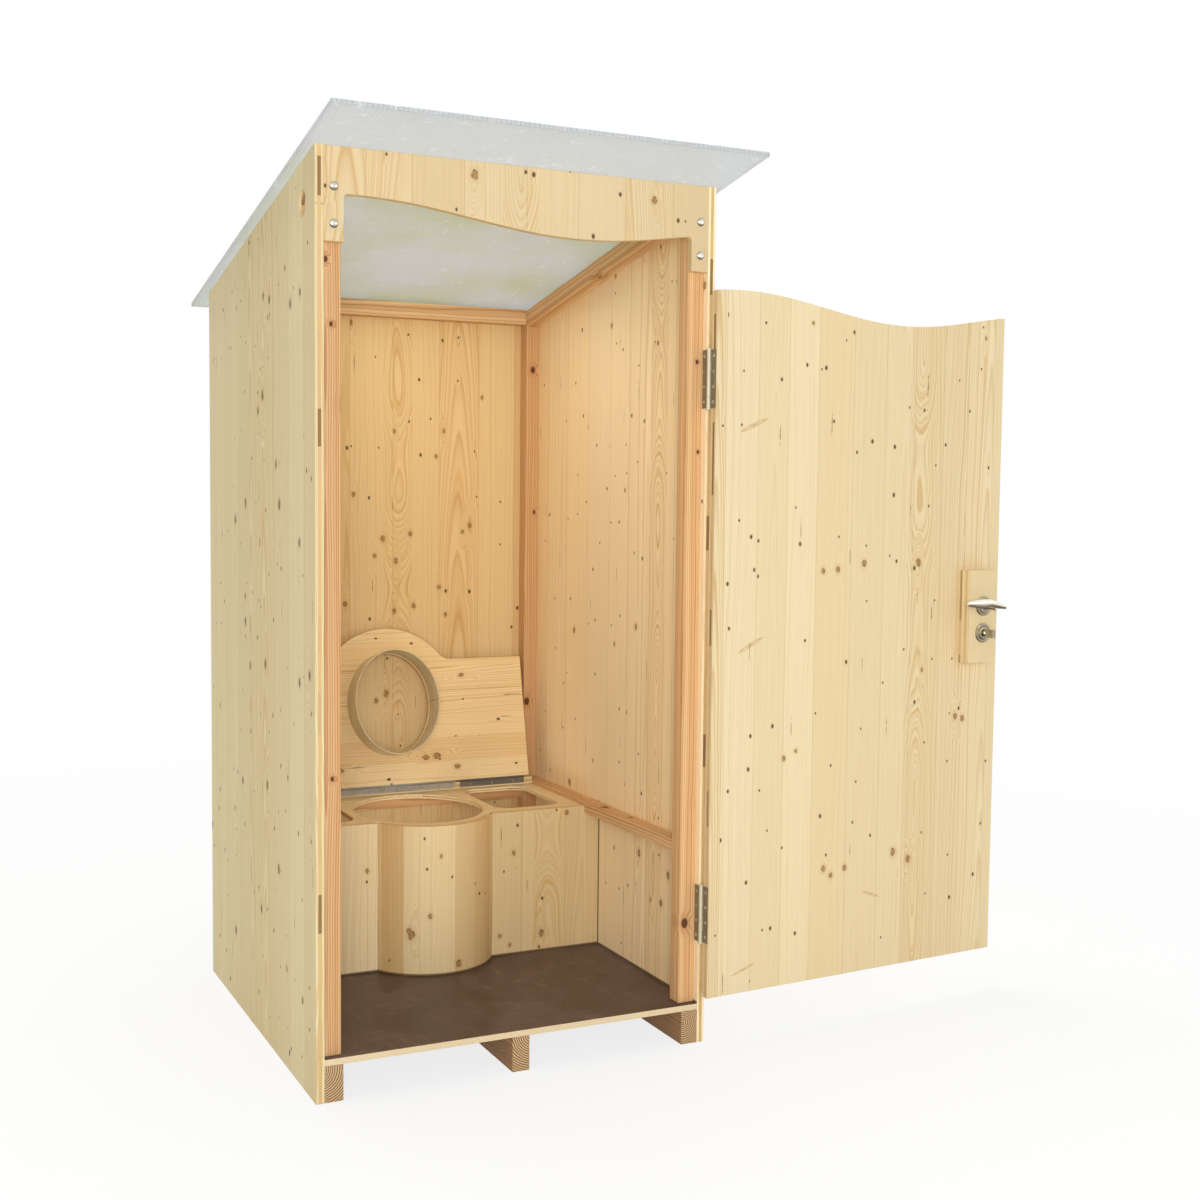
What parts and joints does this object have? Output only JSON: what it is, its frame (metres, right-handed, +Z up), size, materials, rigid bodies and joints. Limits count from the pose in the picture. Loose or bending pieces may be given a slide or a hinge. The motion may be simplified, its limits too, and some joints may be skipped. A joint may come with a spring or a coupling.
{
  "type": "outdoor composting toilet cabin",
  "caption": "Narrow wooden outhouse with a lean-to roof, an inset door on side hinges, a wavy lintel and a bench seat whose lid lifts to the back wall.",
  "frame": {"origin": "middle of the footprint on the ground, under the middle joist", "axes": "+Z up, +X to the right of someone facing the doorway, the doorway faces -Y"},
  "size_m": [1.9572, 1.4248, 2.174],
  "materials": {
    "spruce_panel": "bare three-layer spruce board, unplaned knots, matt",
    "larch_timber": "bare planed larch, matt",
    "treated_joist": "bare sawn larch, matt",
    "film_faced_plywood": "brown phenol film on birch plywood, satin",
    "twin_wall_sheet": "translucent grey-green twin-wall sheet, satin",
    "zinc_plated_steel": "zinc plated, satin",
    "dark_steel": "dark bronze hinge steel, satin",
    "galvanised_collar": "rolled sheet, satin",
    "satin_aluminium": "anodised, satin"
  },
  "bodies": {
    "cabin": {"back_left_post": "larch_timber", "back_right_post": "larch_timber", "back_seat_rail": "larch_timber", "back_top_rail": "larch_timber", "back_wall": "spruce_panel", "box_left_panel": "spruce_panel", "box_right_panel": "spruce_panel", "box_round_front": "spruce_panel", "floor_panel": "film_faced_plywood", "front_left_post": "larch_timber", "front_right_post": "larch_timber", "left_joist": "treated_joist", "left_seat_rail": "larch_timber", "left_top_rail": "larch_timber", "left_wall": "spruce_panel", "lintel": "spruce_panel", "long_lid_hinge_fixed_leaf": "zinc_plated_steel", "lower_hinge_wall_leaf": "dark_steel", "middle_joist": "treated_joist", "right_joist": "treated_joist", "right_seat_rail": "larch_timber", "right_top_rail": "larch_timber", "right_wall": "spruce_panel", "roof_sheet": "twin_wall_sheet", "seat_hinge_strip": "spruce_panel", "seat_top_board": "spruce_panel", "short_lid_hinge_fixed_leaf": "zinc_plated_steel", "upper_hinge_wall_leaf": "dark_steel"},
    "door": {"door_panel": "spruce_panel", "lock_block_base": "spruce_panel", "lock_block_cover": "spruce_panel", "inner_handle_rose": "satin_aluminium", "outer_handle_rose": "satin_aluminium", "inner_turn_rose": "satin_aluminium", "outer_turn_rose": "satin_aluminium", "upper_hinge_door_leaf": "dark_steel", "lower_hinge_door_leaf": "dark_steel"},
    "lever": {"lever_handle": "satin_aluminium"},
    "thumb_turn_knob": {"thumb_turn": "satin_aluminium"},
    "lid": {"seat_lid": "spruce_panel", "seat_collar": "galvanised_collar", "long_lid_hinge_moving_leaf": "zinc_plated_steel", "short_lid_hinge_moving_leaf": "zinc_plated_steel"}
  },
  "joints": [
    {"name": "door_swing", "type": "hinge", "parent": "cabin", "child": "door", "pos_m": [0.481, -0.552, 1], "axis": [0, 0, 1], "range_deg": [-184.3, 0]},
    {"name": "seat_lid_hinge", "type": "hinge", "parent": "cabin", "child": "lid", "pos_m": [-0.007, 0.406, 0.5243], "axis": [1, 0, 0], "range_deg": [0, 102.5]},
    {"name": "lever_turn", "type": "hinge", "parent": "door", "child": "lever", "pos_m": [1.34844, -0.55196, 1.086], "axis": [0.075, -0.9972, 0], "range_deg": [0, 40]},
    {"name": "thumb_turn_spin", "type": "hinge", "parent": "door", "child": "thumb_turn_knob", "pos_m": [1.34844, -0.55196, 1.013], "axis": [0.075, -0.9972, 0], "range_deg": [0, 90]}
  ]
}
